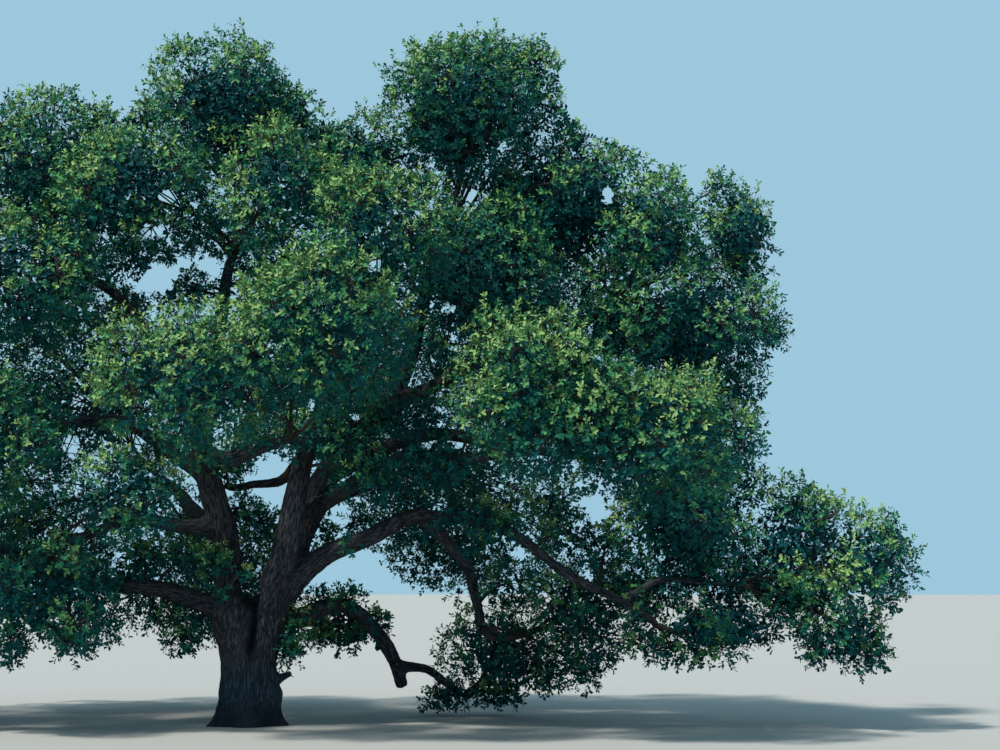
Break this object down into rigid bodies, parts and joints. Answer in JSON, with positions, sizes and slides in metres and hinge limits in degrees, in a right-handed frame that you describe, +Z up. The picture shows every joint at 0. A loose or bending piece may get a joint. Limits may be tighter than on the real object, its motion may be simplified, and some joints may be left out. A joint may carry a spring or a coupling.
{
  "type": "oak tree",
  "caption": "Broad open-grown oak with a short forked trunk, long arching boughs that droop towards the ground and rounded masses of dense lobed leaves.",
  "frame": {"origin": "centre of the flat cut under the trunk, at ground level", "axes": "+Z up the trunk; +X towards the side where the boughs arch out and droop furthest; -Y is the side that shows the cleft under the fork"},
  "size_m": [29.6569, 18.7128, 17.191],
  "materials": {
    "bark": "rough, deeply furrowed",
    "leaf_mid": "matt leaf",
    "leaf_deep": "matt leaf",
    "leaf_light": "matt leaf",
    "leaf_shade": "matt leaf"
  },
  "bodies": {
    "root": {"trunk": "bark", "right_leader": "bark", "left_leader": "bark", "centre_bough": "bark", "crossing_bough": "bark", "right_bough": "bark", "right_arch": "bark", "right_lobe_bough": "bark", "low_right_bough": "bark", "ground_bough": "bark", "hanging_bough": "bark", "right_mid_bough": "bark", "upper_right_bough": "bark", "front_right_bough": "bark", "left_low_bough": "bark", "left_mid_bough": "bark", "left_high_bough": "bark", "left_top_bough": "bark", "front_left_bough": "bark", "back_left_bough": "bark", "back_right_bough": "bark", "left_dome": "leaf_mid", "left_shoulder": "leaf_deep", "front_left_top": "leaf_light", "centre_notch": "leaf_shade", "front_centre_top": "leaf_mid", "centre_dome": "leaf_deep", "centre_dark": "leaf_light", "centre_right": "leaf_shade", "right_shoulder": "leaf_mid", "right_ear": "leaf_deep", "right_flank": "leaf_light", "right_waist": "leaf_shade", "right_low": "leaf_mid", "right_skirt": "leaf_deep", "right_lobe": "leaf_light", "right_tip": "leaf_shade", "right_drop": "leaf_mid", "ground_left": "leaf_deep", "ground_right": "leaf_light", "low_right_fringe": "leaf_shade", "front_left": "leaf_mid", "front_left_low": "leaf_deep", "front_right_top": "leaf_light", "front_right": "leaf_shade", "left_upper": "leaf_mid", "far_left_top": "leaf_deep", "far_left_high": "leaf_light", "left_low": "leaf_shade", "far_left_mid": "leaf_mid", "left_inner": "leaf_deep", "left_bottom": "leaf_light", "far_left_low": "leaf_shade", "left_tip": "leaf_mid", "back_left": "leaf_deep", "back_left_low": "leaf_light", "back_centre_low": "leaf_shade", "back_centre": "leaf_mid", "back_right": "leaf_deep", "back_right_low": "leaf_light"}
  },
  "joints": []
}
